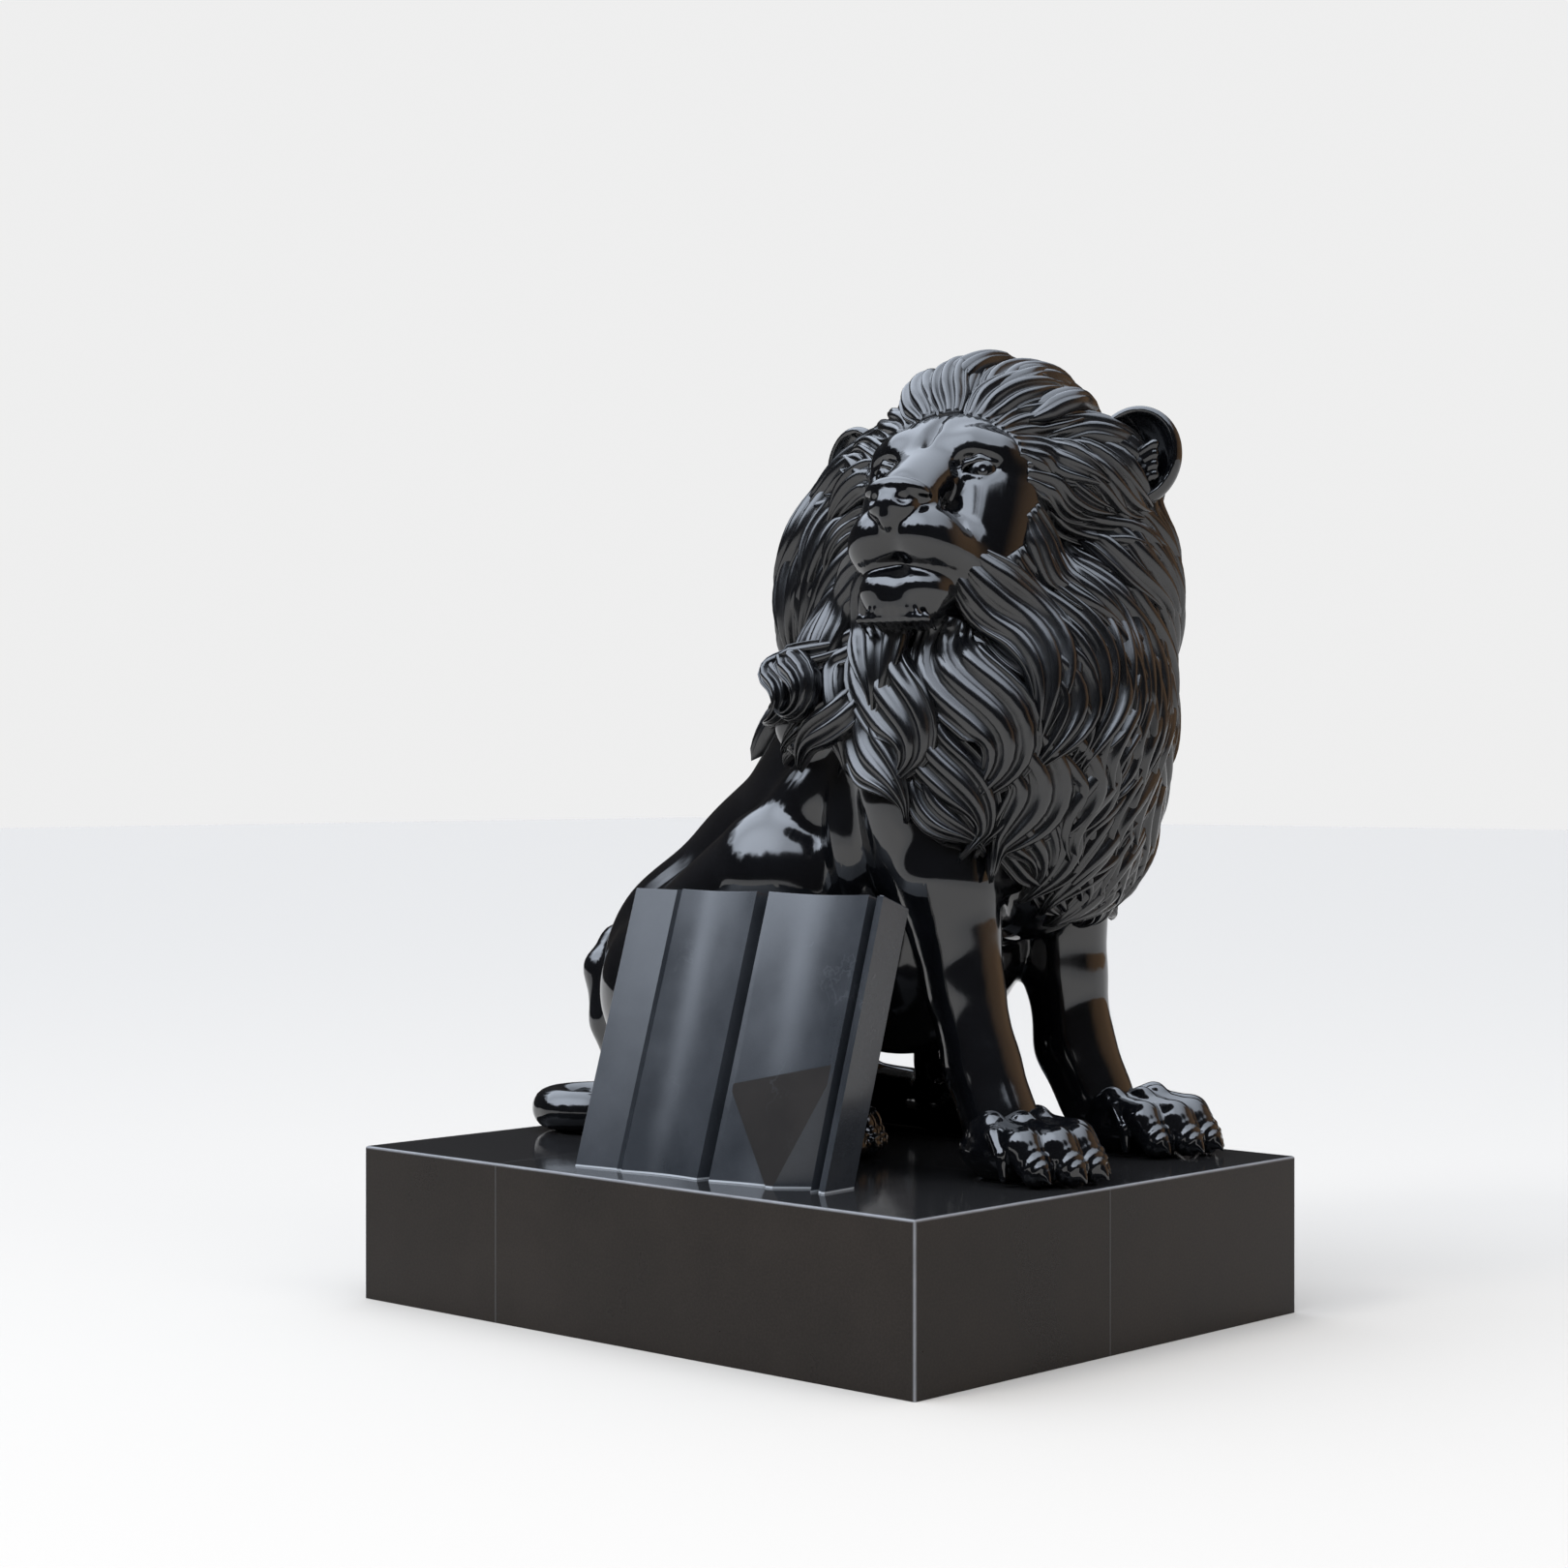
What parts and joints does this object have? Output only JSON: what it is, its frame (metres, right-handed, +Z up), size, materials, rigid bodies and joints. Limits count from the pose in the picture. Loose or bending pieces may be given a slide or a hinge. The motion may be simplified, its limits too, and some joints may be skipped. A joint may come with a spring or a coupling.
{
  "type": "granite lion statue",
  "caption": "Seated lion carved in polished black granite, head turned to its right, on a three-block plinth with a fluted slab leaning on its thigh.",
  "frame": {"origin": "middle of the plinth's underside", "axes": "+Z up; the lion's body faces -Y and its own right side is -X"},
  "size_m": [1.5, 1.9, 2.461],
  "materials": {
    "plinth_stone": "honed dark granite, polished on top, with fine pale arrises",
    "panel_stone": "satin blue-grey granite with faint veins",
    "lion_stone": "mirror-polished black granite"
  },
  "bodies": {
    "root": {"plinth_rear_block": "plinth_stone", "plinth_right_block": "plinth_stone", "plinth_left_block": "plinth_stone", "fluted_panel": "panel_stone", "lion": "lion_stone"}
  },
  "joints": []
}
